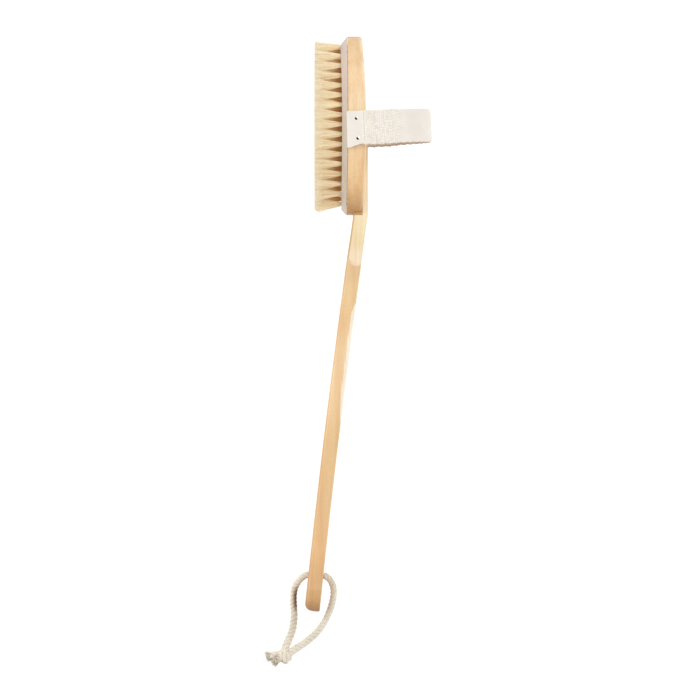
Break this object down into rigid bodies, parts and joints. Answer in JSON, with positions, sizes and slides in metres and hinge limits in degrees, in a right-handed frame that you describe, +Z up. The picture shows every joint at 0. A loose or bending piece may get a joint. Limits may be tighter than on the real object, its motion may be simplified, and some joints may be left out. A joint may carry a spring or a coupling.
{
  "type": "body dry brush",
  "caption": "Oval wooden body brush with natural bristles, a nailed webbing hand strap, a long bent handle on a dovetail slide and a knotted cord loop to hang it by",
  "frame": {"origin": "Middle of the bounding box's bottom, measured without the loose cord: a point on the surface that the brush lies on.", "axes": "The brush lies on its side. +Y runs along the handle from its tip to the top of the head, +X from the bristle tips to the back of the head, and +Z up, across the head's width."},
  "size_m": [0.1212, 0.4646, 0.0747],
  "materials": {
    "bristle_board": "pale dense board, sanded, unvarnished",
    "head_wood": "satin clear lacquer over beech",
    "bristle": "stiff natural fibre, pale at the tips and brown at the roots",
    "webbing": "undyed cotton webbing with folded hems",
    "thread": "cotton sewing thread",
    "nail_steel": "bright domed nail heads",
    "handle_wood": "satin clear lacquer over beech, browner towards the tip",
    "cord": "loosely twisted undyed cotton cord, frayed at the ends"
  },
  "bodies": {
    "head": {"bristle_board": "bristle_board", "cover_board": "head_wood", "bristle_row_01": "bristle", "bristle_row_02": "bristle", "bristle_row_03": "bristle", "bristle_row_04": "bristle", "bristle_row_05": "bristle", "bristle_row_06": "bristle", "bristle_row_07": "bristle", "bristle_row_08": "bristle", "bristle_row_09": "bristle", "bristle_row_10": "bristle", "bristle_row_11": "bristle", "bristle_row_12": "bristle", "bristle_row_13": "bristle", "bristle_row_14": "bristle", "bristle_row_15": "bristle", "bristle_row_16": "bristle", "bristle_row_17": "bristle", "hand_strap": "webbing", "strap_nail_near_upper": "nail_steel", "strap_nail_near_lower": "nail_steel", "strap_nail_far_upper": "nail_steel", "strap_nail_far_lower": "nail_steel", "strap_seam_near": "thread", "strap_seam_far": "thread"},
    "handle": {"handle": "handle_wood"},
    "hanging_loop": {"hanging_cord": "cord", "cord_knot": "cord", "cord_tail_long": "cord", "cord_tail_short": "cord"}
  },
  "joints": [
    {"name": "handle_slide", "type": "slide", "parent": "head", "child": "handle", "axis": [0, -0.9973, -0.0732], "range_m": [0, 0.065]},
    {"name": "loop_swing", "type": "hinge", "parent": "handle", "child": "hanging_loop", "pos_m": [-0.03873, -0.18426, 0.01334], "axis": [0.9944, -0.1057, -0.0078], "range_deg": [-160, 140]}
  ]
}
